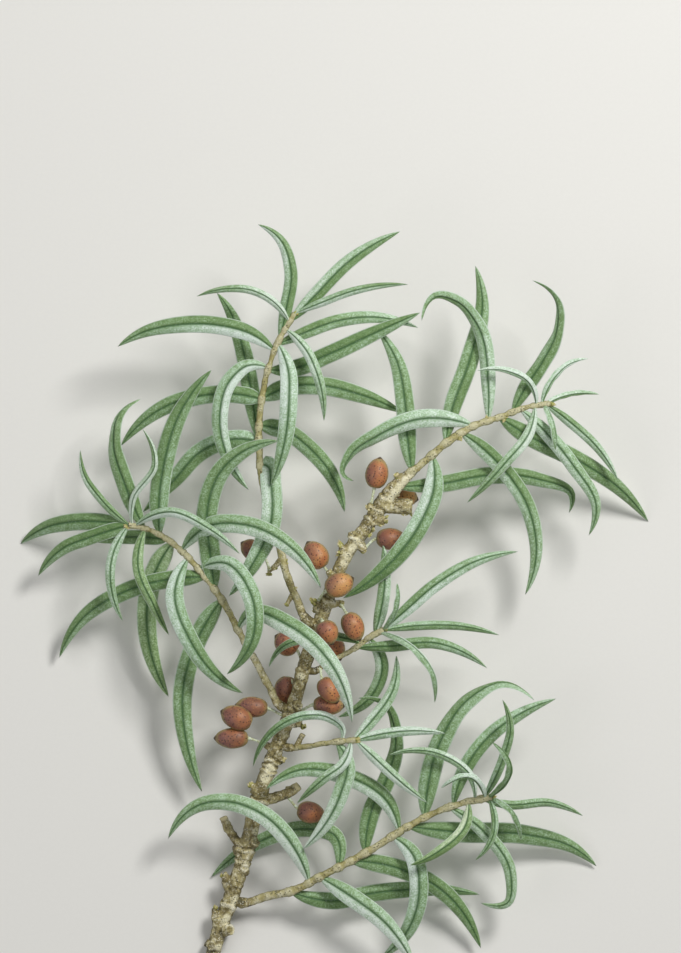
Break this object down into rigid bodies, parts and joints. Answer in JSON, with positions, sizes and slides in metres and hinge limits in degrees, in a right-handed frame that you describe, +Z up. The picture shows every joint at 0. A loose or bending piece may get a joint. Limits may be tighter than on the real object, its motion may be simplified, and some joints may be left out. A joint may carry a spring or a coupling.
{
  "type": "sea buckthorn sprig",
  "caption": "A cut sprig of sea buckthorn lying flat: knobbly old wood, leafy shoots with long narrow leaves, and oval berries on short stalks.",
  "frame": {"origin": "bottom centre of the sprig's box, on the surface that it lies on", "axes": "+Z up off the surface, +Y towards the crown shoot's tip, away from the cut end, +X towards the right shoot's tip"},
  "size_m": [0.1888, 0.2226, 0.0399],
  "materials": {
    "bark": "ochre and olive bark, ridged and knobbly, with pale cut ends",
    "leaf": "mid green leaf with a silvery bloom, a sunken darker midrib and pale margins",
    "berry": "orange-brown skin with a purplish shade, an olive rim and small dark dots"
  },
  "bodies": {
    "root": {"main_stem": "bark", "crown_shoot": "leaf", "left_shoot": "leaf", "right_shoot": "leaf", "side_shoot": "leaf", "middle_shoot": "leaf", "lower_shoot": "leaf", "berry_top": "berry", "berry_behind_stub": "berry", "berry_below_stub": "berry", "berry_upper_left": "berry", "berry_front": "berry", "berry_crown": "berry", "berry_right": "berry", "berry_over_stem": "berry", "berry_under_leaf": "berry", "berry_left": "berry", "berry_behind_stem": "berry", "berries_left": "berry", "berries_right": "berry", "berry_low": "berry"}
  },
  "joints": []
}
